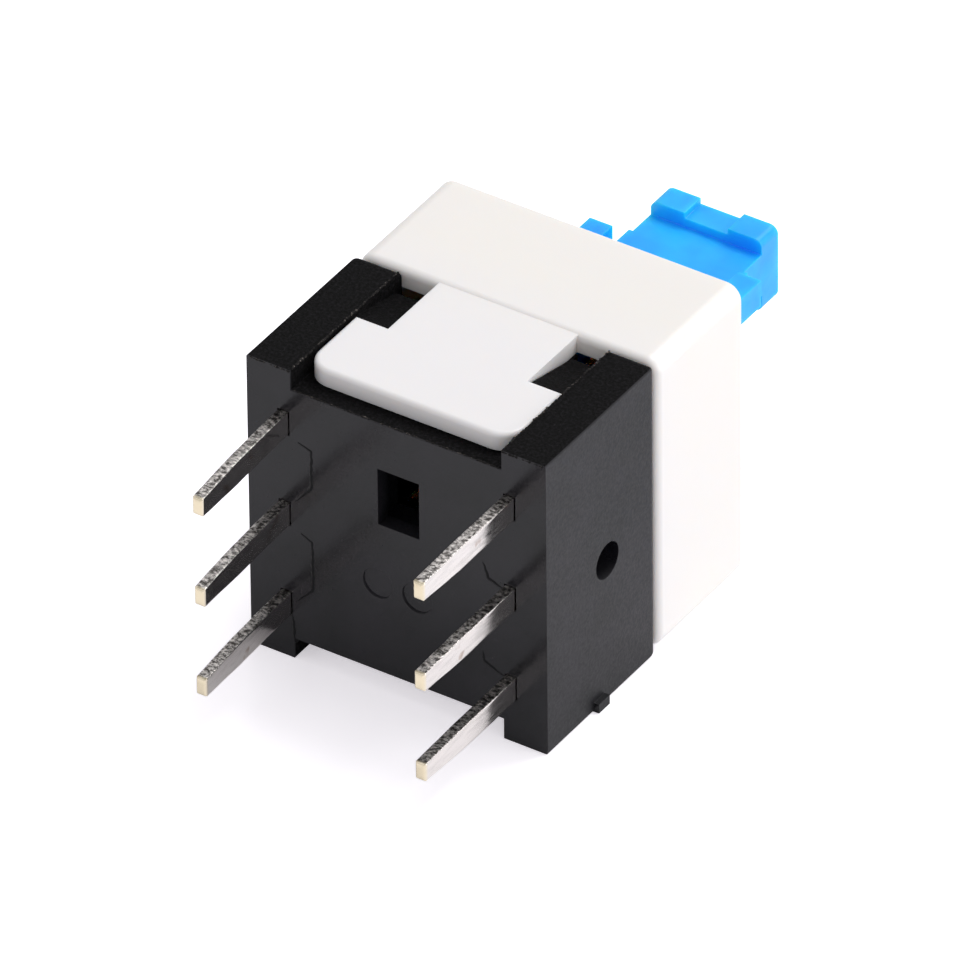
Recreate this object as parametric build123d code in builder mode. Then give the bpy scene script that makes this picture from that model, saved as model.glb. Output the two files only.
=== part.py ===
"""Six-terminal double-throw pushbutton switch for a circuit board, modelled lying on its side.

Millimetres. The origin is the centre of the board seat. +Y runs from the board face to the button,
X runs across the two terminal rows, Z runs along them, and the switch lies on its -Z side.
"""
from build123d import *
from math import atan2, degrees, hypot
import os

# body
body_width = 8.0            # X
body_height = 8.0           # Z
base_depth = 4.55           # Y, black base
body_depth = 8.1            # Y, base and housing together
base_inset_side = 0.03      # base narrower than the housing, each side
joint_gap = 0.02            # base to housing, and terminals in their slots
base_edge_r = 0.06
base_rear_r = 0.25          # round the base's rear edges
housing_edge_r = 0.4
housing_end_r = 0.1
housing_front_r = 0.2       # its front edge, above and below

# terminals
row_spacing = 6.0           # X, between the two rows
pin_pitch = 2.5             # Z, along a row
pin_length = 3.7            # below the board seat
pin_thick = 0.28            # X
pin_width = 0.62            # Z
tip_length = 1.5
tip_width = 0.4
tip_top_drop = 0.05         # the tip narrows mostly from its lower edge
long_blade_top = 4.25       # Y
short_blade_top = 2.6
joggle_out = 0.25           # the far throw's blade is buried by this much
joggle_start = 0.5
joggle_end = 2.75
joggle_rise = 0.3

# base
front_wall = 1.2
roof = 0.5                  # wall between the cavity and each tongue
window_size = (1.1, 1.53)
window_at = (0.05, 1.42)    # X, Z
window_depth = 0.4
window_step = 0.25          # the pocket behind it is larger by this, each side
side_hole_d = 0.92
side_hole_at = (2.5, -0.15)  # Y, Z
side_hole_depth = 0.6
mark_d = 0.8                # moulding ejector marks
mark_depth = 0.04
mark_pitch = 1.05
mark_z = -1.0
nub_size = (0.14, 0.45, 0.25)  # out from the side, Y, Z
nub_y = 2.13
spigot_length = 0.75
post_d = 1.15
post_length = 1.0

# housing
side_wall = 0.5
top_wall = 0.5
end_wall = 0.7
tongue_thick = 0.46
tongue_drop = 0.05          # below the housing's top
tongue_gap = 0.04
tongue_head = (5.52, 2.12)  # X, Y
tongue_neck = 3.7           # X
tongue_start = 0.5          # Y of the head's front edge
tongue_front_r = 0.6
tongue_rear_r = 0.14
tongue_edge_r = 0.12
lug_end = 0.25              # lugs stop short of the base's rear edge
lug_drop_front = 0.08       # lug below the tongue's top, at the tongue's shoulder
lug_drop_rear = 0.45        # and at its low end

# plunger
travel = 2.2
latch_depth = 1.8           # how far in the button stays when it is latched
slide_gap = 0.1             # running clearance of the plunger
block_width = 3.4           # X, carries the contacts
block_front = 3.6           # Y at rest
shoulder_width = 4.2
shoulder_start = 5.7
flange_thick = 0.45
cheek_gap = 1.9             # X between the two cheeks beside the latch wire
flange_width = 5.5
stop_gap = 0.05             # flange to the end wall at rest
stem_z = 0.41               # the stem's middle
stem_size = (3.2, 1.14)     # X, Z
stem_end = 12.1
wing_span = 4.6
wing_width = 0.62
wing_height = 0.73
wing_rise = 0.4             # wing above the stem's top
wing_end = 11.55
neck_width = 3.0
neck_end = 12.85
head_size = (3.0, 2.0)      # X, Z
head_z = 0.37
head_end = 13.55
head_notch = (1.16, 0.16)   # X, Z, in the head's top and bottom
head_r = 0.22

# return spring
spring_wire = 0.22
spring_d = 1.8              # middle of the wire
spring_turns = 7
spring_z = -0.8
spring_seat = 5.9           # Y of the pocket's floor
pocket_gap = 0.14           # spring to pocket

# latch
latch_wire = 0.3
latch_pivot = 1.9           # Y
latch_reach = 2.3           # pivot to tip
latch_swing = 0.5           # X reached by the tip at full press
latch_bend_r = 0.22
latch_lift = 0.2            # wire above the plunger's block
latch_space = 0.75          # block's top to the base's roof
track_depth = 0.62
track_gap = 0.1             # wire to the track's wall
pivot_depth = 0.32
pivot_gap = 0.04
leaf_size = (1.2, 2.1, 0.1)  # X, Y, Z
leaf_tab = 0.35

# moving contacts
contact_thick = 0.12
contact_gap = 0.03          # bump to blade
contact_arm = 0.7           # Z
contact_height = 5.6        # Z
bump_y = 4.0                # at rest
foot_start = 4.75
foot_end = 5.6
peg_d = 0.6
peg_length = 0.22

# places worked out from the sizes above
half_width = body_width / 2
half_height = body_height / 2
base_half_width = half_width - base_inset_side
tongue_top = half_height - tongue_drop
recess_floor = tongue_top - tongue_thick - tongue_gap
cavity_half_height = recess_floor - roof
blade_face = row_spacing / 2 - pin_thick / 2
arm_inner = tongue_head[0] / 2 + tongue_gap
shoulder_y = tongue_start + tongue_head[1]
housing_front = base_depth + joint_gap
end_wall_y = body_depth - end_wall
flange_rear = end_wall_y - stop_gap
block_top = cavity_half_height - latch_space
block_bottom = -(cavity_half_height - 3 * slide_gap)
latch_z = block_top + latch_lift + latch_wire / 2
ROWS = {"left": -1, "right": 1}
PLACES = {"top": 1, "middle": 0, "bottom": -1}


def block(low, high, mode=Mode.ADD):
    """A box between two opposite corners."""
    size = [abs(b - a) for a, b in zip(low, high)]
    middle = [(a + b) / 2 for a, b in zip(low, high)]
    with Locations(tuple(middle)):
        Box(*size, mode=mode)


def across(y):
    """The plane across the switch at depth y: its x is X, its y is Z, and +Y is a negative extrusion."""
    return Plane.XZ.offset(-y)


def blade_outline(place, side):
    """A terminal seen along Z: straight, cut short, or jogged outwards into the base's wall."""
    inner, outer = blade_face, blade_face + pin_thick
    if place == "top":
        points = [
            (inner, -pin_length),
            (outer, -pin_length),
            (outer, joggle_start),
            (outer + joggle_out, joggle_start + joggle_rise),
            (outer + joggle_out, joggle_end),
            (outer, joggle_end + joggle_rise),
            (outer, long_blade_top),
            (inner, long_blade_top),
            (inner, joggle_end + joggle_rise),
            (inner + joggle_out, joggle_end),
            (inner + joggle_out, joggle_start + joggle_rise),
            (inner, joggle_start),
        ]
    else:
        top = long_blade_top if place == "middle" else short_blade_top
        points = [(inner, -pin_length), (outer, -pin_length), (outer, top), (inner, top)]
    return [(side * x, y) for x, y in points]


def make_terminal(place, side):
    """One sheared blade with a tip that narrows along Z."""
    z = PLACES[place] * pin_pitch
    with BuildPart() as terminal:
        with BuildSketch(Plane.XY.offset(z - pin_width / 2)):
            with BuildLine():
                Polyline(*blade_outline(place, side), close=True)
            make_face()
        extrude(amount=pin_width)
        with BuildSketch(Plane.YZ):
            tip_top = pin_width / 2 - tip_top_drop
            for edge, tip_edge in ((1, tip_top), (-1, tip_top - tip_width)):
                with BuildLine():
                    Polyline(
                        (-pin_length, z + tip_edge),
                        (-pin_length, z + edge * pin_width),
                        (tip_length - pin_length, z + edge * pin_width),
                        (tip_length - pin_length, z + edge * pin_width / 2),
                        close=True,
                    )
                make_face()
        extrude(amount=row_spacing, both=True, mode=Mode.SUBTRACT)
    return terminal


def cut_blade_slot(place, side):
    """The terminal's outline, grown by its fit, taken out of the base."""
    height = pin_width + 2 * joint_gap
    with BuildSketch(Plane.XY.offset(PLACES[place] * pin_pitch - height / 2)) as slot:
        with BuildLine():
            Polyline(*blade_outline(place, side), close=True)
        make_face()
        offset(amount=joint_gap, kind=Kind.INTERSECTION)
    extrude(slot.sketch, amount=height, mode=Mode.SUBTRACT)


def stem_section(gap):
    """The stem's bar with its two guide wings, seen along Y and grown by a gap."""
    top = stem_z + stem_size[1] / 2
    with Locations((0, stem_z)):
        Rectangle(stem_size[0] + 2 * gap, stem_size[1] + 2 * gap)
    wing_bottom = top + wing_rise - wing_height
    with Locations((0, (top + wing_bottom) / 2)):
        Rectangle(wing_span + 2 * gap, top - wing_bottom + 2 * gap)
    for side in ROWS.values():
        with Locations((side * (wing_span - wing_width) / 2, wing_bottom + wing_height / 2)):
            Rectangle(wing_width + 2 * gap, wing_height + 2 * gap)


def add_lug(side, up):
    """A snap lug behind one shoulder of a tongue, sloping down towards the housing."""
    low, high = tongue_neck / 2 + tongue_gap, arm_inner
    front = shoulder_y + tongue_gap
    rear = base_depth - lug_end
    ramp_top = tongue_top - lug_drop_front
    ramp_end = tongue_top - lug_drop_rear
    with BuildSketch(Plane.YZ.offset(side * low)) as lug:
        with BuildLine():
            Polyline(
                (front, up * cavity_half_height),
                (front, up * ramp_top),
                (rear, up * ramp_end),
                (rear, up * cavity_half_height),
                close=True,
            )
        make_face()
    extrude(lug.sketch, amount=side * (high - low))


def clear_lug_pocket(side, up):
    """The pocket that a lug stands in, down to the cavity's roof line."""
    low = tongue_neck / 2 + tongue_gap
    block(
        (side * low, shoulder_y + tongue_gap, up * cavity_half_height),
        (side * arm_inner, base_depth, up * half_height),
        mode=Mode.SUBTRACT,
    )


# base: side arms, front wall, roofs and the slots that hold the terminals
with BuildPart() as base:
    block(
        (-base_half_width, 0, -half_height),
        (base_half_width, base_depth, half_height),
    )
    fillet(base.edges().filter_by(Axis.Y), base_edge_r)
    fillet(base.faces().sort_by(Axis.Y)[-1].edges(), base_rear_r)
    for up in (-1, 1):
        block(
            (-arm_inner, 0, up * recess_floor),
            (arm_inner, base_depth, up * half_height),
            mode=Mode.SUBTRACT,
        )
        for side in ROWS.values():
            clear_lug_pocket(side, up)
            add_lug(side, up)
    block(
        (-blade_face, front_wall, -cavity_half_height),
        (blade_face, base_depth, cavity_half_height),
        mode=Mode.SUBTRACT,
    )
    # spigots that locate the housing's side walls
    spigot_outer = half_width - side_wall - joint_gap
    for side in ROWS.values():
        block(
            (side * blade_face, base_depth, 0.85 * -cavity_half_height),
            (side * spigot_outer, base_depth + spigot_length, 0.85 * cavity_half_height),
        )
    # post inside the return spring
    with BuildSketch(across(front_wall)):
        with Locations((0, spring_z)):
            Circle(post_d / 2)
    extrude(amount=-post_length)
    for side in ROWS.values():
        for place in PLACES:
            cut_blade_slot(place, side)
    # window in the board face, with a larger pocket behind it
    with BuildSketch(across(0)):
        with Locations(window_at):
            Rectangle(*window_size)
    extrude(amount=-window_depth, mode=Mode.SUBTRACT)
    with BuildSketch(across(window_depth)):
        with Locations(window_at):
            Rectangle(window_size[0] + 2 * window_step, window_size[1] + 2 * window_step)
    extrude(amount=window_depth - front_wall, mode=Mode.SUBTRACT)
    # ejector marks
    with BuildSketch(across(0)):
        with Locations((-mark_pitch / 2, mark_z), (mark_pitch / 2, mark_z)):
            Circle(mark_d / 2)
    extrude(amount=-mark_depth, mode=Mode.SUBTRACT)
    # blind holes in the side faces
    for side in ROWS.values():
        with BuildSketch(Plane.YZ.offset(side * base_half_width)):
            with Locations(side_hole_at):
                Circle(side_hole_d / 2)
        extrude(amount=-side * side_hole_depth, mode=Mode.SUBTRACT)
    # latch pivot hole and the leaf spring's slot, up into the roof
    with BuildSketch(Plane.XY.offset(cavity_half_height)):
        with Locations((0, latch_pivot)):
            Circle(latch_wire / 2 + pivot_gap)
    extrude(amount=pivot_depth + pivot_gap, mode=Mode.SUBTRACT)
    leaf_rear = latch_pivot + latch_reach
    block(
        (-leaf_size[0] / 2 - joint_gap, leaf_rear - leaf_size[2] - joint_gap, cavity_half_height),
        (leaf_size[0] / 2 + joint_gap, leaf_rear + joint_gap, cavity_half_height + leaf_tab),
        mode=Mode.SUBTRACT,
    )
    # stub of the moulding gate, low on the +X side and level with the underside
    block(
        (base_half_width - nub_size[0], nub_y - nub_size[1] / 2, -half_height),
        (base_half_width + nub_size[0], nub_y + nub_size[1] / 2, nub_size[2] - half_height),
    )
base.part.label = "base"

# housing: a cup that closes the base, with a T-shaped tongue on its top and its underside
with BuildPart() as housing:
    block((-half_width, housing_front, -half_height), (half_width, body_depth, half_height))
    fillet(housing.edges().filter_by(Axis.Y), housing_edge_r)
    fillet(housing.faces().sort_by(Axis.Y)[-1].edges(), housing_end_r)
    front_rims = housing.faces().sort_by(Axis.Y)[0].edges().filter_by(Axis.X)
    fillet(front_rims, housing_front_r)
    block(
        (side_wall - half_width, housing_front, top_wall - half_height),
        (half_width - side_wall, end_wall_y, half_height - top_wall),
        mode=Mode.SUBTRACT,
    )
    for up in (-1, 1):
        with BuildSketch(Plane.XY.offset(up * (tongue_top - tongue_thick / 2))) as tongue:
            with Locations((0, (tongue_start + housing_front + housing_front_r) / 2)):
                Rectangle(tongue_neck, housing_front + housing_front_r - tongue_start)
            with Locations((0, tongue_start + tongue_head[1] / 2)):
                Rectangle(*tongue_head)
            corners = tongue.vertices().filter_by(lambda v: abs(v.X) > tongue_neck / 2 + tongue_gap)
            fillet(corners.group_by(Axis.Y)[0], tongue_front_r)
            fillet(corners.group_by(Axis.Y)[-1], tongue_rear_r)
        extrude(amount=tongue_thick / 2, both=True)
    front_edges = housing.edges().filter_by_position(Axis.Y, tongue_start, shoulder_y)
    outer_edges = front_edges.group_by(Axis.Z)
    fillet(outer_edges[-1] + outer_edges[0], tongue_edge_r)
    with BuildSketch(across(end_wall_y)):
        stem_section(slide_gap)
    extrude(amount=-end_wall, mode=Mode.SUBTRACT)
housing.part.label = "housing"


def track_points():
    """The heart-shaped latch track at rest: entry, full press, latched notch, release, and back."""
    entry = latch_pivot + latch_reach
    return [
        (0, entry),
        (latch_swing, entry + travel),
        (0, entry + latch_depth),
        (-latch_swing, entry + travel - track_gap),
        (0, entry),
    ]


def cut_track():
    """One rounded slot between each two points of the track, as wide as the wire and its clearance."""
    points = track_points()
    for (x0, y0), (x1, y1) in zip(points, points[1:]):
        with BuildSketch(Plane.XY.offset(block_top)) as lane:
            with Locations(Location(((x0 + x1) / 2, (y0 + y1) / 2), degrees(atan2(y1 - y0, x1 - x0)))):
                SlotCenterToCenter(hypot(x1 - x0, y1 - y0), latch_wire + 2 * track_gap)
        extrude(lane.sketch, amount=-track_depth, mode=Mode.SUBTRACT)


# plunger: contact carrier, guide flange, winged stem, neck and the head that takes a cap
with BuildPart() as plunger:
    block(
        (-block_width / 2, block_front, block_bottom),
        (block_width / 2, flange_rear, block_top),
    )
    block(
        (-shoulder_width / 2, shoulder_start, block_bottom),
        (shoulder_width / 2, flange_rear, block_top),
    )
    for side in ROWS.values():
        block(
            (side * cheek_gap / 2, shoulder_start, block_top - slide_gap),
            (side * shoulder_width / 2, flange_rear, cavity_half_height - slide_gap),
        )
    flange_half_height = half_height - top_wall - 2 * slide_gap
    block(
        (-flange_width / 2, flange_rear - flange_thick, -flange_half_height),
        (flange_width / 2, flange_rear, flange_half_height),
    )
    with BuildSketch(across(flange_rear)):
        stem_section(0)
    extrude(amount=flange_rear - wing_end)
    with BuildSketch(across(wing_end)):
        with Locations((0, stem_z)):
            Rectangle(*stem_size)
    extrude(amount=wing_end - stem_end)
    with BuildSketch(across(stem_end)):
        with Locations((0, stem_z)):
            Rectangle(neck_width, stem_size[1])
    extrude(amount=stem_end - neck_end)
    with BuildSketch(across(neck_end)) as head:
        with Locations((0, head_z)):
            Rectangle(*head_size)
        fillet(head.vertices(), head_r)
        for up in (-1, 1):
            with Locations((0, head_z + up * head_size[1] / 2)):
                Rectangle(head_notch[0], 2 * head_notch[1], mode=Mode.SUBTRACT)
    extrude(amount=neck_end - head_end)
    with BuildSketch(across(block_front)):
        with Locations((0, spring_z)):
            Circle((spring_d + spring_wire) / 2 + pocket_gap)
    extrude(amount=block_front - spring_seat, mode=Mode.SUBTRACT)
    cut_track()
    for side in ROWS.values():
        with BuildSketch(Plane.YZ.offset(side * block_width / 2)):
            with Locations(((foot_start + foot_end) / 2, 0)):
                Circle(peg_d / 2)
        extrude(amount=side * peg_length)
plunger.part.label = "plunger"

# return spring: a plain helix from the front wall to the plunger's pocket
with BuildPart() as return_spring:
    first = front_wall + spring_wire / 2 + joint_gap
    last = spring_seat - spring_wire / 2 - joint_gap
    with BuildLine() as coil:
        Helix(
            pitch=(last - first) / spring_turns,
            height=last - first,
            radius=spring_d / 2,
            center=(0, first, spring_z),
            direction=(0, 1, 0),
        )
    with BuildSketch(Plane(origin=coil.line @ 0, z_dir=coil.line % 0)):
        Circle(spring_wire / 2)
    sweep(path=coil.line, is_frenet=True)
return_spring.part.label = "return_spring"

# latch pin: bent wire, its one end in the roof and its other in the track
with BuildPart() as latch_pin:
    with BuildLine() as wire:
        FilletPolyline(
            (0, latch_pivot, cavity_half_height + pivot_depth),
            (0, latch_pivot, latch_z),
            (0, latch_pivot + latch_reach, latch_z),
            (0, latch_pivot + latch_reach, block_top - track_depth + track_gap),
            radius=latch_bend_r,
        )
    with BuildSketch(Plane(origin=wire.line @ 0, z_dir=wire.line % 0)):
        Circle(latch_wire / 2)
    sweep(path=wire.line)
latch_pin.part.label = "latch_pin"

# latch spring: flat leaf over the wire, its tab held in the roof
with BuildPart() as latch_spring:
    leaf_bottom = cavity_half_height - joint_gap - leaf_size[2]
    block(
        (-leaf_size[0] / 2, leaf_rear - leaf_size[1] + leaf_size[2], leaf_bottom),
        (leaf_size[0] / 2, leaf_rear, leaf_bottom + leaf_size[2]),
    )
    block(
        (-leaf_size[0] / 2, leaf_rear - leaf_size[2], leaf_bottom),
        (leaf_size[0] / 2, leaf_rear, cavity_half_height + leaf_tab - joint_gap),
    )
    with BuildSketch(Plane.XY.offset(leaf_bottom)):
        with Locations((0, latch_pivot)):
            Circle(latch_wire / 2 + pivot_gap)
    extrude(amount=leaf_size[2], mode=Mode.SUBTRACT)
latch_spring.part.label = "latch_spring"


def make_contact(side):
    """Moving contact: a foot on the plunger's side and three sprung arms, each with a bump on a blade."""
    foot_x = block_width / 2 + joint_gap + contact_thick / 2
    bump_x = blade_face - contact_gap - contact_thick / 2
    with BuildPart() as contact:
        with BuildSketch(Plane.XY.offset(-contact_height / 2)):
            with BuildLine():
                Line((side * foot_x, foot_start), (side * foot_x, foot_end))
            trace(line_width=contact_thick)
        extrude(amount=contact_height)
        for place in PLACES.values():
            low = max(place * pin_pitch - contact_arm / 2, -contact_height / 2)
            high = min(place * pin_pitch + contact_arm / 2, contact_height / 2)
            with BuildSketch(Plane.XY.offset(low)):
                with BuildLine():
                    Polyline(
                        (side * foot_x, foot_end),
                        (side * foot_x, foot_start),
                        (side * bump_x, bump_y + contact_arm / 5),
                        (side * bump_x, bump_y - contact_arm / 5),
                        (side * (foot_x + bump_x) / 2, bump_y - contact_arm / 2),
                    )
                trace(line_width=contact_thick)
            extrude(amount=high - low)
        with BuildSketch(Plane.YZ):
            with Locations(((foot_start + foot_end) / 2, 0)):
                Circle(peg_d / 2 + joint_gap)
        extrude(amount=side * row_spacing, mode=Mode.SUBTRACT)
    return contact


os.makedirs("parts", exist_ok=True)
pieces = [base, housing, plunger, return_spring, latch_pin, latch_spring]
for row, side in ROWS.items():
    contact = make_contact(side)
    contact.part.label = f"contact_{row}"
    pieces.append(contact)
    for place in PLACES:
        terminal = make_terminal(place, side)
        terminal.part.label = f"terminal_{row}_{place}"
        pieces.append(terminal)
for piece in pieces:
    export_step(piece.part, f"parts/{piece.part.label}.step")
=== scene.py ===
import bmesh
import bpy
import math
import numpy as np
from mathutils import Matrix, Vector


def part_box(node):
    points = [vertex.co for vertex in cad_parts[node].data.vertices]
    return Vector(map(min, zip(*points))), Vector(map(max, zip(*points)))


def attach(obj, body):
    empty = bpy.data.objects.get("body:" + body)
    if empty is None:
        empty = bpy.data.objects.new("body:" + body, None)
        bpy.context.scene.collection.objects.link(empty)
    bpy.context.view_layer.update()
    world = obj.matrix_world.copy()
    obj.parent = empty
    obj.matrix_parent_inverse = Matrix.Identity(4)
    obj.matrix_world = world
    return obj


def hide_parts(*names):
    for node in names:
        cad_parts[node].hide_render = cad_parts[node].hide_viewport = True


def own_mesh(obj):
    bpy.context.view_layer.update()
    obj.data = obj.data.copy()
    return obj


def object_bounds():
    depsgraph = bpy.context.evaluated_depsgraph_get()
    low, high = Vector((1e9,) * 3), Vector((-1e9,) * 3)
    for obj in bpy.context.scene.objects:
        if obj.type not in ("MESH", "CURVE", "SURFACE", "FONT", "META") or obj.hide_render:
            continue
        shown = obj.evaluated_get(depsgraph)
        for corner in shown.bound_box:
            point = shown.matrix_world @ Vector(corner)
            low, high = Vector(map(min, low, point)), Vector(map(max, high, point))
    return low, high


# A six-pin pushbutton switch lying on its side. Metres throughout, mm() keeps the numbers readable.

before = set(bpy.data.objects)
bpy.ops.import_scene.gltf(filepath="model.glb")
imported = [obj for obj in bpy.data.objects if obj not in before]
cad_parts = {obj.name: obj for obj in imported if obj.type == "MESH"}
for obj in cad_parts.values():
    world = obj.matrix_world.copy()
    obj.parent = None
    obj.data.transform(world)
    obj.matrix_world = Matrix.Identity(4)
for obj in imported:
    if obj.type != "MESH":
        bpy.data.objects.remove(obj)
cadLow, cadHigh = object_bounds()
rng = np.random.default_rng(7)


def mm(value):
    return value * 0.001


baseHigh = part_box("base")[1]


# ---------- node helpers ----------

def newMaterial(name):
    material = bpy.data.materials.new(name)
    material.use_nodes = True
    tree = material.node_tree
    tree.nodes.clear()
    output = tree.nodes.new("ShaderNodeOutputMaterial")
    shader = tree.nodes.new("ShaderNodeBsdfPrincipled")
    tree.links.new(shader.outputs["BSDF"], output.inputs["Surface"])
    return material, tree, shader


def plug(tree, value, socket):
    # a node's output is linked, anything else is a constant on the socket itself
    if isinstance(value, bpy.types.NodeSocket):
        tree.links.new(value, socket)
    else:
        socket.default_value = value


def objectCoords(tree):
    return tree.nodes.new("ShaderNodeTexCoord").outputs["Object"]


def objectNormal(tree):
    return tree.nodes.new("ShaderNodeTexCoord").outputs["Normal"]


def stretched(tree, scale):
    mapping = tree.nodes.new("ShaderNodeMapping")
    tree.links.new(objectCoords(tree), mapping.inputs["Vector"])
    mapping.inputs["Scale"].default_value = scale
    return mapping.outputs["Vector"]


def noise(tree, vector, scale, detail=3.0, roughness=0.55):
    texture = tree.nodes.new("ShaderNodeTexNoise")
    plug(tree, vector, texture.inputs["Vector"])
    texture.inputs["Scale"].default_value = scale
    texture.inputs["Detail"].default_value = detail
    texture.inputs["Roughness"].default_value = roughness
    return texture.outputs["Fac"]


def remap(tree, value, fromLow, fromHigh, toLow, toHigh):
    node = tree.nodes.new("ShaderNodeMapRange")
    plug(tree, value, node.inputs["Value"])
    node.inputs["From Min"].default_value = fromLow
    node.inputs["From Max"].default_value = fromHigh
    node.inputs["To Min"].default_value = toLow
    node.inputs["To Max"].default_value = toHigh
    return node.outputs["Result"]


def math2(tree, operation, a, b=0.0):
    node = tree.nodes.new("ShaderNodeMath")
    node.operation = operation
    plug(tree, a, node.inputs[0])
    plug(tree, b, node.inputs[1])
    return node.outputs["Value"]


def blendColours(tree, factor, colourA, colourB):
    node = tree.nodes.new("ShaderNodeMix")
    node.data_type = "RGBA"
    plug(tree, factor, node.inputs["Factor"])
    plug(tree, colourA, node.inputs["A"])
    plug(tree, colourB, node.inputs["B"])
    return node.outputs["Result"]


def axisOf(tree, vector, axis):
    node = tree.nodes.new("ShaderNodeSeparateXYZ")
    tree.links.new(vector, node.inputs["Vector"])
    return node.outputs[axis]


def bump(tree, height, distance, strength=1.0, under=None):
    node = tree.nodes.new("ShaderNodeBump")
    plug(tree, height, node.inputs["Height"])
    node.inputs["Distance"].default_value = distance
    node.inputs["Strength"].default_value = strength
    if under is not None:
        tree.links.new(under, node.inputs["Normal"])
    return node.outputs["Normal"]


# ---------- materials ----------

blackMoulding = {
    "dark": (0.006, 0.006, 0.008, 1), "light": (0.012, 0.011, 0.015, 1),
    "topDark": (0.002, 0.002, 0.002, 1), "topLight": (0.013, 0.012, 0.014, 1),
    "fleck": (0.30, 0.29, 0.28, 1),
    "grain": 14000, "grainDepth": mm(0.005), "clouds": 700,
    "topGrain": 13000, "topDepth": mm(0.05), "frontRoughness": 0.2, "sideRoughness": 0.5,
    "recess": {
        "depth": mm(0.62), "halfWidth": mm(2.84), "front": mm(0.02), "fade": mm(0.04), "sideFade": mm(0.03),
    },
}


def blackMouldingMaterial(s=blackMoulding):
    # fine spark-eroded grain on the sides, a smoother board face, and coarse torn grain on the arms and in
    # the tongue's recesses
    material, tree, shader = newMaterial("blackMoulding")
    coords = objectCoords(tree)
    normal = objectNormal(tree)
    upFacing = remap(tree, math2(tree, "ABSOLUTE", axisOf(tree, normal, "Z")), 0.7, 0.95, 0.0, 1.0)
    height = math2(tree, "ABSOLUTE", axisOf(tree, coords, "Z"))
    armTop = math2(tree, "MULTIPLY", upFacing,
                   remap(tree, height, baseHigh.z - mm(0.1), baseHigh.z - mm(0.04), 0.0, 1.0))
    recess = s["recess"]
    recessFloor = baseHigh.z - recess["depth"]
    recessSide = recess["halfWidth"]
    sideways = math2(tree, "ABSOLUTE", axisOf(tree, coords, "X"))
    inRecess = math2(tree, "MULTIPLY",
                     remap(tree, height, recessFloor, recessFloor + recess["fade"], 0.0, 1.0),
                     remap(tree, sideways, recessSide, recessSide + recess["sideFade"], 1.0, 0.0))
    inRecess = math2(tree, "MULTIPLY", inRecess,
                     remap(tree, axisOf(tree, coords, "Y"), recess["front"], recess["front"] + recess["fade"],
                           0.0, 1.0))
    onTop = math2(tree, "MAXIMUM", armTop, inRecess)
    frontFacing = remap(tree, axisOf(tree, normal, "Y"), -0.9, -0.6, 1.0, 0.0)
    clouds = noise(tree, coords, s["clouds"], 4.0)
    fine = noise(tree, coords, s["grain"], 2.0, 0.6)
    coarse = noise(tree, coords, s["topGrain"], 5.0, 0.7)
    plain = blendColours(tree, remap(tree, clouds, 0.35, 0.65, 0.0, 1.0), s["dark"], s["light"])
    torn = blendColours(tree, remap(tree, coarse, 0.45, 0.68, 0.0, 1.0), s["topDark"], s["topLight"])
    flecks = noise(tree, coords, s["topGrain"], 3.0, 0.9)
    torn = blendColours(tree, remap(tree, flecks, 0.72, 0.78, 0.0, 0.6), torn, s["fleck"])
    plug(tree, blendColours(tree, onTop, plain, torn), shader.inputs["Base Color"])
    smoothness = remap(tree, frontFacing, 0.0, 1.0, s["sideRoughness"], s["frontRoughness"])
    roughness = math2(tree, "ADD", smoothness, remap(tree, fine, 0.3, 0.7, -0.05, 0.08))
    roughness = math2(tree, "ADD", roughness, math2(tree, "MULTIPLY", onTop, 0.25))
    plug(tree, roughness, shader.inputs["Roughness"])
    grainHeight = math2(tree, "MULTIPLY", fine, remap(tree, frontFacing, 0.0, 1.0, 1.0, 0.3))
    grain = bump(tree, grainHeight, s["grainDepth"])
    topHeight = math2(tree, "MULTIPLY", coarse, onTop)
    plug(tree, bump(tree, topHeight, s["topDepth"], 1.0, grain), shader.inputs["Normal"])
    plug(tree, remap(tree, onTop, 0.0, 1.0, 0.37, 0.08), shader.inputs["Specular IOR Level"])
    return material


ivoryMoulding = {
    "cool": (0.81, 0.79, 0.80, 1), "warm": (0.83, 0.80, 0.77, 1), "clouds": 260,
    "ripple": 1400, "rippleDepth": mm(0.0025), "roughness": (0.3, 0.42), "depth": mm(0.35),
}


def ivoryMouldingMaterial(s=ivoryMoulding):
    # smooth, faintly rippled white that lets a little light in; cooler on the thin tongue over the base
    material, tree, shader = newMaterial("ivoryMoulding")
    coords = objectCoords(tree)
    towardsButton = remap(tree, axisOf(tree, coords, "Y"), mm(3.5), mm(6.0), 0.0, 1.0)
    clouds = noise(tree, coords, s["clouds"], 3.0)
    warmth = math2(tree, "MULTIPLY", towardsButton, remap(tree, clouds, 0.3, 0.7, 0.7, 1.0))
    plug(tree, blendColours(tree, warmth, s["cool"], s["warm"]), shader.inputs["Base Color"])
    ripple = noise(tree, coords, s["ripple"], 3.0, 0.5)
    plug(tree, remap(tree, ripple, 0.3, 0.7, *s["roughness"]), shader.inputs["Roughness"])
    plug(tree, bump(tree, ripple, s["rippleDepth"]), shader.inputs["Normal"])
    shader.inputs["Subsurface Weight"].default_value = 0.35
    shader.inputs["Subsurface Radius"].default_value = (1.0, 0.85, 0.7)
    shader.inputs["Subsurface Scale"].default_value = s["depth"]
    return material


blueMoulding = {
    "deep": (0.005, 0.320, 0.940, 1), "bright": (0.012, 0.470, 1.000, 1), "clouds": 500,
    "ripple": 2200, "rippleDepth": mm(0.003), "roughness": (0.34, 0.5), "depth": mm(0.8),
}


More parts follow.
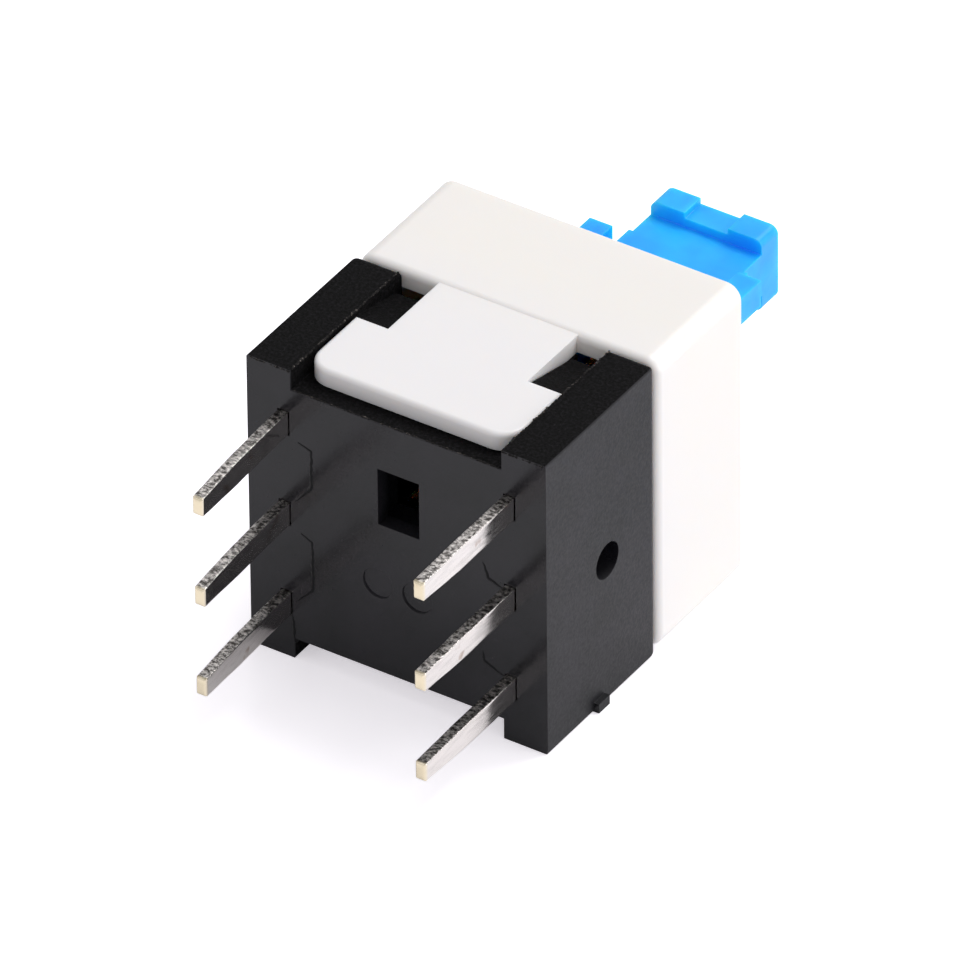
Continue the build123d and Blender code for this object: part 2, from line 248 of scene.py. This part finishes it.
def blueMouldingMaterial(s=blueMoulding):
    # bright pigmented blue with a soft glow through its thin edges
    material, tree, shader = newMaterial("blueMoulding")
    coords = objectCoords(tree)
    clouds = noise(tree, coords, s["clouds"], 3.0)
    plug(tree, blendColours(tree, remap(tree, clouds, 0.35, 0.65, 0.0, 1.0), s["deep"], s["bright"]),
         shader.inputs["Base Color"])
    ripple = noise(tree, coords, s["ripple"], 3.0)
    plug(tree, remap(tree, ripple, 0.3, 0.7, *s["roughness"]), shader.inputs["Roughness"])
    plug(tree, bump(tree, ripple, s["rippleDepth"]), shader.inputs["Normal"])
    shader.inputs["Subsurface Weight"].default_value = 0.75
    shader.inputs["Subsurface Radius"].default_value = (0.2, 0.7, 1.0)
    shader.inputs["Subsurface Scale"].default_value = s["depth"]
    return material


tinnedStrip = {
    "tin": (0.94, 0.89, 0.865, 1), "shade": (0.50, 0.47, 0.45, 1), "tearDark": (0.09, 0.082, 0.076, 1),
    "brass": (0.93, 0.80, 0.54, 1),
    "stain": (0.38, 0.22, 0.15, 1), "streaks": (9000, 1500, 9000), "shearTears": (9000, 12000, 9000),
    "tearDepth": mm(0.02), "tipLength": mm(0.1),
}


def tinnedStripMaterial(s=tinnedStrip):
    # bright tin on the rolled faces, dark torn streaks across the sheared edges, bare brass on the cut tips
    material, tree, shader = newMaterial("tinnedStrip")
    coords = objectCoords(tree)
    normal = objectNormal(tree)
    sheared = remap(tree, math2(tree, "ABSOLUTE", axisOf(tree, normal, "Z")), 0.55, 0.8, 0.0, 1.0)
    tears = noise(tree, stretched(tree, s["shearTears"]), 1.0, 4.0, 0.7)
    streaks = noise(tree, stretched(tree, s["streaks"]), 1.0, 4.0, 0.6)
    spots = noise(tree, coords, 1700, 2.0)
    rolled = blendColours(tree, remap(tree, streaks, 0.45, 0.75, 0.0, 0.35), s["tin"], s["shade"])
    rolled = blendColours(tree, remap(tree, spots, 0.66, 0.72, 0.0, 0.6), rolled, s["stain"])
    torn = blendColours(tree, remap(tree, tears, 0.42, 0.62, 0.0, 1.0), s["tearDark"], s["tin"])
    body = blendColours(tree, sheared, rolled, torn)
    atTip = remap(tree, axisOf(tree, coords, "Y"), cadLow.y, cadLow.y + s["tipLength"], 0.8, 0.0)
    plug(tree, blendColours(tree, atTip, body, s["brass"]), shader.inputs["Base Color"])
    shader.inputs["Metallic"].default_value = 1.0
    plug(tree, math2(tree, "ADD", remap(tree, streaks, 0.3, 0.7, 0.12, 0.24),
                     math2(tree, "MULTIPLY", sheared, 0.16)), shader.inputs["Roughness"])
    tearHeight = math2(tree, "MULTIPLY", tears, sheared)
    scratches = bump(tree, streaks, mm(0.002))
    plug(tree, bump(tree, tearHeight, s["tearDepth"], 1.0, scratches), shader.inputs["Normal"])
    return material


def drawnMetalMaterial(name, bright, dull, alongY, alongX):
    # drawn or rolled metal with fine lengthwise scratches
    material, tree, shader = newMaterial(name)
    scratches = noise(tree, stretched(tree, (alongX, alongY, alongX)), 1.0, 3.0)
    plug(tree, blendColours(tree, remap(tree, scratches, 0.35, 0.65, 0.0, 1.0), bright, dull),
         shader.inputs["Base Color"])
    shader.inputs["Metallic"].default_value = 1.0
    plug(tree, remap(tree, scratches, 0.3, 0.7, 0.2, 0.36), shader.inputs["Roughness"])
    plug(tree, bump(tree, scratches, mm(0.002)), shader.inputs["Normal"])
    return material


# colours of the painted shade that darkens the groove lines on the pin face
grooveShadeTones = {"colour": (0.004, 0.004, 0.005, 1), "lift": (0.012, 0.012, 0.013, 1), "roughness": (0.3, 0.5)}


def grooveShadeMaterial(s=grooveShadeTones):
    # the wet-looking dark line of a moulding seam
    # painted shade: a wet-looking near-black line standing in for the shade inside a groove between the
    # base's moulded blocks
    material, tree, shader = newMaterial("paintedGrooveShade")
    mottle = noise(tree, objectCoords(tree), 6000, 2.0)
    plug(tree, blendColours(tree, mottle, s["colour"], s["lift"]), shader.inputs["Base Color"])
    plug(tree, remap(tree, mottle, 0.3, 0.7, *s["roughness"]), shader.inputs["Roughness"])
    shader.inputs["Specular IOR Level"].default_value = 0.12
    return material


burrSkin = {
    "dark": (0.006, 0.005, 0.005, 1), "pale": (0.20, 0.175, 0.16, 1), "grain": 15000, "roughness": 0.7,
}


def burrMaterial(s=burrSkin):
    # torn moulding flash: mostly black, pale where a thin flake catches the light
    material, tree, shader = newMaterial("tornFlash")
    flakes = noise(tree, objectCoords(tree), s["grain"], 3.0, 0.8)
    plug(tree, blendColours(tree, remap(tree, flakes, 0.56, 0.7, 0.0, 1.0), s["dark"], s["pale"]),
         shader.inputs["Base Color"])
    shader.inputs["Roughness"].default_value = s["roughness"]
    shader.inputs["Specular IOR Level"].default_value = 0.2
    return material


black = blackMouldingMaterial()
ivory = ivoryMouldingMaterial()
blue = blueMouldingMaterial()
tinned = tinnedStripMaterial()
steel = drawnMetalMaterial("springSteel", (0.66, 0.66, 0.68, 1), (0.42, 0.42, 0.44, 1), 900, 9000)
bronze = drawnMetalMaterial("contactBronze", (0.86, 0.62, 0.36, 1), (0.62, 0.42, 0.24, 1), 900, 9000)
grooveShadeLook = grooveShadeMaterial()
flash = burrMaterial()
print("materials made")


# ---------- meshes ----------

def addPiece(mesh, material, body):
    piece = bpy.data.objects.new(mesh.name, mesh)
    bpy.context.scene.collection.objects.link(piece)
    mesh.materials.clear()
    mesh.materials.append(material)
    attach(piece, body)
    return piece


def meshFromGrid(name, points, closedAround=True):
    # points is rings x around x 3; rings are joined in order, and a fan to its own middle closes each end
    rings, around = points.shape[:2]
    ends = np.stack([points[0].mean(0), points[-1].mean(0)])
    vertices = np.concatenate([points.reshape(-1, 3), ends])
    ring = np.arange(rings - 1)[:, None] * around
    step = np.arange(around)[None, :]
    nextStep = (step + 1) % around
    quads = np.stack([ring + step, ring + nextStep, ring + around + nextStep, ring + around + step], -1)
    first, last = rings * around, rings * around + 1
    lastRing = (rings - 1) * around
    fanA = np.stack([np.full(around, first), nextStep[0], step[0]], -1)
    fanB = np.stack([np.full(around, last), lastRing + step[0], lastRing + nextStep[0]], -1)
    mesh = bpy.data.meshes.new(name)
    mesh.from_pydata(vertices.tolist(), [], quads.reshape(-1, 4).tolist() + fanA.tolist() + fanB.tolist())
    solid = bmesh.new()
    solid.from_mesh(mesh)
    bmesh.ops.recalc_face_normals(solid, faces=solid.faces)
    solid.to_mesh(mesh)
    solid.free()
    mesh.polygons.foreach_set("use_smooth", np.ones(len(mesh.polygons), bool))
    return mesh


def wander(positions, amplitude, wavelengths):
    # a smooth random line: sines of the given wavelengths with random phases, added up
    total = np.zeros_like(positions)
    for wavelength in wavelengths:
        total += np.sin(2 * np.pi * positions / wavelength + rng.uniform(0, 2 * np.pi))
    return amplitude * total / len(wavelengths)


roundedEdge = {
    "base": {"radius": mm(0.035), "segments": 2, "angle": 35},
    "housing": {"radius": mm(0.05), "segments": 3, "angle": 35},
    "plunger": {"radius": mm(0.11), "segments": 4, "angle": 35},
}


def softened(node, material, body):
    # the CAD body's own surface, its doubles merged and flats joined, with its sharp edges rounded
    s = roundedEdge[node]
    mesh = bpy.data.meshes.new(node + "_moulding")
    shape = bmesh.new()
    shape.from_mesh(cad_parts[node].data)
    bmesh.ops.remove_doubles(shape, verts=shape.verts, dist=mm(0.0002))
    bmesh.ops.dissolve_limit(shape, angle_limit=math.radians(0.5), verts=shape.verts, edges=shape.edges)
    shape.to_mesh(mesh)
    shape.free()
    piece = addPiece(mesh, material, body)
    mesh.polygons.foreach_set("use_smooth", np.ones(len(mesh.polygons), bool))
    mesh.set_sharp_from_angle(angle=math.radians(s["angle"]))
    bevel = piece.modifiers.new("roundedEdges", "BEVEL")
    bevel.width = s["radius"]
    bevel.segments = s["segments"]
    bevel.limit_method = "ANGLE"
    bevel.angle_limit = math.radians(s["angle"])
    bevel.use_clamp_overlap = True
    bevel.harden_normals = False
    weighted = piece.modifiers.new("flatFaces", "WEIGHTED_NORMAL")
    weighted.weight = 100
    weighted.keep_sharp = True
    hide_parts(node)
    return piece


softened("base", black, "body")
softened("housing", ivory, "body")
softened("plunger", blue, "slider")
print("mouldings softened")

blade = {
    "around": 72, "rings": 260, "squareness": 14, "tipLength": mm(1.5), "tipWidth": mm(0.48),
    "topDrop": mm(0.05), "bentIn": {"left": mm(0.16), "right": 0.0},
    "endRound": mm(0.04), "tear": mm(0.008), "wobble": mm(0.006), "thick": mm(0.28),
    "joggle": mm(0.25), "joggleStart": mm(0.5), "joggleEnd": mm(2.75), "joggleRise": mm(0.3),
}


def ramp(values, start, rise):
    return np.clip((values - start) / rise, 0.0, 1.0)


def bladeSurface(node, s=blade):
    # a rounded rectangle carried along Y; it narrows in Z towards the tip, and its sheared faces are torn
    low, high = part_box(node)
    middle = (low + high) / 2
    side = 1 if middle.x > 0 else -1
    thinnest = s["thick"]
    jogged = high.x - low.x > thinnest * 1.2
    inner = min(abs(low.x), abs(high.x))
    y = np.linspace(low.y, high.y, s["rings"])
    y = np.concatenate([[low.y, low.y], y[1:-1], [high.y, high.y]])
    alongTip = ramp(y, low.y, s["tipLength"])
    halfZ = (s["tipWidth"] + ((high.z - low.z) - s["tipWidth"]) * alongTip) / 2
    middleZ = (high.z - s["topDrop"] * (1 - alongTip) - halfZ)[:, None]
    halfX = np.full_like(y, thinnest / 2)
    fromEnd = np.minimum(y - low.y, high.y - y)
    inset = s["endRound"] * (1 - np.sqrt(1 - (1 - ramp(fromEnd, 0, s["endRound"])) ** 2))
    halfZ = halfZ - inset
    halfX = halfX - inset
    halfX[[0, -1]] *= 0.5
    halfZ[[0, -1]] *= 0.5
    shift = np.zeros_like(y)
    if jogged:
        outward = ramp(y, s["joggleStart"], s["joggleRise"])
        shift = s["joggle"] * (outward - ramp(y, s["joggleEnd"], s["joggleRise"]))
    angle = np.linspace(0, 2 * np.pi, s["around"], endpoint=False)[None, :]
    power = 2 / s["squareness"]
    across = np.sign(np.cos(angle)) * np.abs(np.cos(angle)) ** power
    upward = np.sign(np.sin(angle)) * np.abs(np.sin(angle)) ** power
    onSheared = np.clip((np.abs(upward) - 0.9) / 0.1, 0, 1)
    tears = wander(y, s["tear"], [mm(v) for v in (0.05, 0.083, 0.13, 0.21, 0.34)])[:, None]
    fade = ramp(-y, mm(-0.1), mm(0.2))[:, None]
    lean = wander(y, s["wobble"], [mm(v) for v in (0.9, 1.7)])[:, None] * fade
    tornZ = tears * onSheared * np.sign(upward) * fade * (0.6 + 0.4 * np.cos(3 * angle))
    bent = -side * s["bentIn"]["left" if side < 0 else "right"] * (ramp(-y, 0.0, -low.y) ** 1.5)[:, None]
    x = side * (inner + thinnest / 2 + shift[:, None]) + halfX[:, None] * across + lean * 0.5 + bent
    z = middleZ + halfZ[:, None] * upward + np.minimum(tornZ, 0.0) * np.where(upward > 0, 1, 0) \
        + np.maximum(tornZ, 0.0) * np.where(upward < 0, 1, 0)
    return np.stack([x, np.broadcast_to(y[:, None], x.shape), z], -1)


for row in ("left", "right"):
    for place in ("top", "middle", "bottom"):
        node = f"terminal_{row}_{place}"
        surface = meshFromGrid(f"pin_{row}_{place}", bladeSurface(node))
        pin = addPiece(surface, tinned, "body")
        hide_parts(node)
print("pins made")

coil = {"wire": mm(0.22), "turns": 7.0, "around": 12, "perTurn": 40, "closed": 0.9}


def coilSurface(s=coil):
    # a circle carried round a helix whose pitch is closed at both ends
    low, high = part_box("return_spring")
    radius = (high.x - low.x - s["wire"]) / 2
    centre = (low + high) / 2
    turn = np.linspace(0, s["turns"], int(s["turns"] * s["perTurn"]))
    rise = np.clip((turn - s["closed"]) / (s["turns"] - 2 * s["closed"]), 0, 1)
    closedRise = np.minimum(turn, s["closed"]) + np.maximum(turn - s["turns"] + s["closed"], 0)
    length = high.y - low.y - s["wire"]
    endRise = s["wire"] * 1.02
    y = low.y + s["wire"] / 2 + endRise * closedRise + (length - 2 * s["closed"] * endRise) * rise
    phase = 2 * np.pi * turn
    spine = np.stack([centre.x + radius * np.cos(phase), y, centre.z + radius * np.sin(phase)], -1)
    return sweepCircle(spine, s["wire"] / 2, s["around"])


def sweepCircle(spine, radius, around):
    # circles square to the spine, turned with the least twist
    tangent = np.gradient(spine, axis=0)
    tangent /= np.linalg.norm(tangent, axis=1, keepdims=True)
    reference = np.cross(tangent, np.array([0.21, 0.37, 0.9]))
    reference /= np.linalg.norm(reference, axis=1, keepdims=True)
    other = np.cross(tangent, reference)
    angle = np.linspace(0, 2 * np.pi, around, endpoint=False)
    cosine = np.cos(angle)[None, :, None]
    sine = np.sin(angle)[None, :, None]
    offset = reference[:, None, :] * cosine + other[:, None, :] * sine
    reach = np.broadcast_to(np.asarray(radius).reshape(-1, 1, 1), (len(spine), around, 1))
    return spine[:, None, :] + reach * offset


# painted shade: thin dark tubes laid slightly proud along the groove lines of the pin face, standing in for
# the shade inside those grooves
grooveShadeLines = {
    "wire": mm(0.075), "proud": mm(0.018), "step": mm(0.03), "stray": mm(0.012),
    "paths": {
        "left_upper": [(-2.85, 6.15), (-2.27, 5.97), (-2.28, 4.91), (-2.81, 4.30)],
        "left_middle": [(-2.81, 3.67), (-2.28, 3.43), (-2.27, 2.10), (-2.83, 1.50)],
        "left_lower": [(-2.83, 1.26), (-2.79, 0.43)],
        "right_upper": [(2.26, 4.79), (2.42, 4.33), (2.87, 4.15)],
        "right_lower": [(2.27, 2.32), (2.29, 1.97), (2.90, 1.71)],
    },
}


def alongPath(corners, step):
    # points every step along straight runs between the corners
    corners = np.asarray(corners, float)
    runs = np.linalg.norm(np.diff(corners, axis=0), axis=1)
    travelled = np.concatenate([[0], np.cumsum(runs)])
    places = np.linspace(0, travelled[-1], max(int(travelled[-1] / step), 8))
    return np.stack([np.interp(places, travelled, corners[:, k]) for k in range(3)], -1), places


for label, path in grooveShadeLines["paths"].items():
    corners = [(mm(x), 0.0, mm(z) + cadLow.z) for x, z in path]
    spine, places = alongPath(corners, grooveShadeLines["step"])
    spine[:, 0] += wander(places, grooveShadeLines["stray"], [mm(0.23), mm(0.61)])
    spine[:, 1] = grooveShadeLines["wire"] - grooveShadeLines["proud"]
    radius = grooveShadeLines["wire"] * (0.75 + 0.25 * np.sin(np.pi * np.linspace(0, 1, len(spine))))
    addPiece(meshFromGrid("grooveShadeLine_" + label, sweepCircle(spine, radius, 8)), grooveShadeLook, "body")
print("seams laid")

burrs = {
    "radius": mm(0.036), "step": mm(0.02), "stray": mm(0.035), "armInner": mm(2.81), "armOuter": mm(3.88),
    "ledgeZ": mm(0.55), "rear": mm(4.42),
    "front": mm(0.08), "under": mm(0.006),
}


def burrLine(name, start, end, s=burrs):
    # a thin ragged ridge whose thickness comes and goes along a straight edge
    spine, places = alongPath([start, end], s["step"])
    spine[:, 0] += wander(places, s["stray"] * 0.5, [mm(0.11), mm(0.27), mm(0.7)])
    swell = 0.5 + 0.5 * np.clip(wander(places, 1.6, [mm(0.09), mm(0.17), mm(0.43), mm(1.1)]), -0.8, 1.0)
    addPiece(meshFromGrid(name, sweepCircle(spine, s["radius"] * swell, 8)), flash, "body")


edgeZ = cadHigh.z - burrs["under"]
for side, row in ((-1, "left"), (1, "right")):
    burrLine(f"burr_inner_{row}", (side * burrs["armInner"], burrs["front"], edgeZ),
             (side * burrs["armInner"], burrs["rear"], edgeZ))
    burrLine(f"burr_front_{row}", (side * burrs["armInner"], burrs["under"], edgeZ - burrs["radius"]),
             (side * burrs["armOuter"], burrs["under"], edgeZ - burrs["radius"]))
ledgeZ = cadHigh.z - burrs["ledgeZ"] - burrs["under"]
burrLine("burr_ledge", (-burrs["armInner"], burrs["radius"], ledgeZ),
         (burrs["armInner"], burrs["radius"], ledgeZ))
print("burrs raised")

springPiece = addPiece(meshFromGrid("spring_coil", coilSurface()), steel, "body")
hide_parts("return_spring")
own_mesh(springPiece)

innerMetal = {"latch_pin": steel, "latch_spring": steel, "contact_left": bronze, "contact_right": bronze}
for node, material in innerMetal.items():
    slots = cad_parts[node].data.materials
    slots.clear()
    slots.append(material)
print("inner pieces made")


# ---------- camera, floor and light ----------

shot = {
    "azimuth": 33.309, "elevation": 36.436, "roll": -0.596, "distance": 0.46367, "lens": 770.7,
    "aim": (mm(-0.343), mm(4.0), mm(-0.611)),
}


def placeCamera(s=shot):
    camera = bpy.data.objects.new("camera", bpy.data.cameras.new("camera"))
    bpy.context.scene.collection.objects.link(camera)
    bpy.context.scene.camera = camera
    camera.data.sensor_width = 36
    camera.data.lens = s["lens"]
    camera.data.clip_start = 0.01
    camera.data.clip_end = 10
    azimuth, elevation = math.radians(s["azimuth"]), math.radians(s["elevation"])
    level = math.cos(elevation)
    back = Vector((math.sin(azimuth) * level, -math.cos(azimuth) * level, math.sin(elevation)))
    right = (-back).cross(Vector((0, 0, 1))).normalized()
    up = right.cross(-back)
    turn = Matrix((right, up, back)).transposed().to_4x4()
    camera.matrix_world = Matrix.Translation(Vector(s["aim"]) + back * s["distance"]) @ turn \
        @ Matrix.Rotation(math.radians(s["roll"]), 4, "Z")


floorLook = {
    "size": 0.6, "colour": (0.93, 0.92, 0.95, 1), "roughness": 0.22, "specular": 0.4, "lift": 0.5,
    "liftTint": (0.985, 0.95, 1.0, 1),
}


def layFloor(s=floorLook):
    # a plain pale table
    half = s["size"] / 2
    z = cadLow.z - mm(0.002)
    mesh = bpy.data.meshes.new("floor")
    corners = [(-half, -half, z), (half, -half, z), (half, half, z), (-half, half, z)]
    mesh.from_pydata(corners, [], [(0, 1, 2, 3)])
    floor = bpy.data.objects.new("floor", mesh)
    bpy.context.scene.collection.objects.link(floor)
    material, tree, shader = newMaterial("tableTop")
    plug(tree, s["colour"], shader.inputs["Base Color"])
    shader.inputs["Roughness"].default_value = s["roughness"]
    shader.inputs["Specular IOR Level"].default_value = s["specular"]
    shader.inputs["Emission Color"].default_value = s["liftTint"]
    seen = tree.nodes.new("ShaderNodeLightPath").outputs["Is Camera Ray"]
    plug(tree, math2(tree, "MULTIPLY", seen, s["lift"]), shader.inputs["Emission Strength"])
    mesh.materials.append(material)


lamps = {
    "sky": 0.62,
    "key": {"from": (0.06, 0.16, 0.30), "size": 0.16, "power": 0.55},
    "fill": {"from": (0.30, 0.08, 0.08), "size": 0.20, "power": 0.42},
}


def hangLamp(name, s):
    light = bpy.data.lights.new(name, "AREA")
    light.shape = "DISK"
    light.size = s["size"]
    light.energy = s["power"]
    lamp = bpy.data.objects.new(name, light)
    bpy.context.scene.collection.objects.link(lamp)
    lamp.location = s["from"]
    lamp.rotation_mode = "QUATERNION"
    lamp.rotation_quaternion = (Vector(shot["aim"]) - Vector(s["from"])).to_track_quat("-Z", "Y")


def lightRoom(s=lamps):
    world = bpy.data.worlds.new("room")
    bpy.context.scene.world = world
    world.use_nodes = True
    tree = world.node_tree
    tree.nodes.clear()
    output = tree.nodes.new("ShaderNodeOutputWorld")
    background = tree.nodes.new("ShaderNodeBackground")
    background.inputs["Color"].default_value = (1, 1, 1, 1)
    seen = tree.nodes.new("ShaderNodeLightPath").outputs["Is Camera Ray"]
    plug(tree, remap(tree, seen, 0.0, 1.0, s["sky"], 1.0), background.inputs["Strength"])
    tree.links.new(background.outputs["Background"], output.inputs["Surface"])
    hangLamp("keyLamp", s["key"])
    hangLamp("fillLamp", s["fill"])


placeCamera()
layFloor()
lightRoom()
bpy.context.scene.view_settings.view_transform = "Standard"
print("camera, floor and light placed")
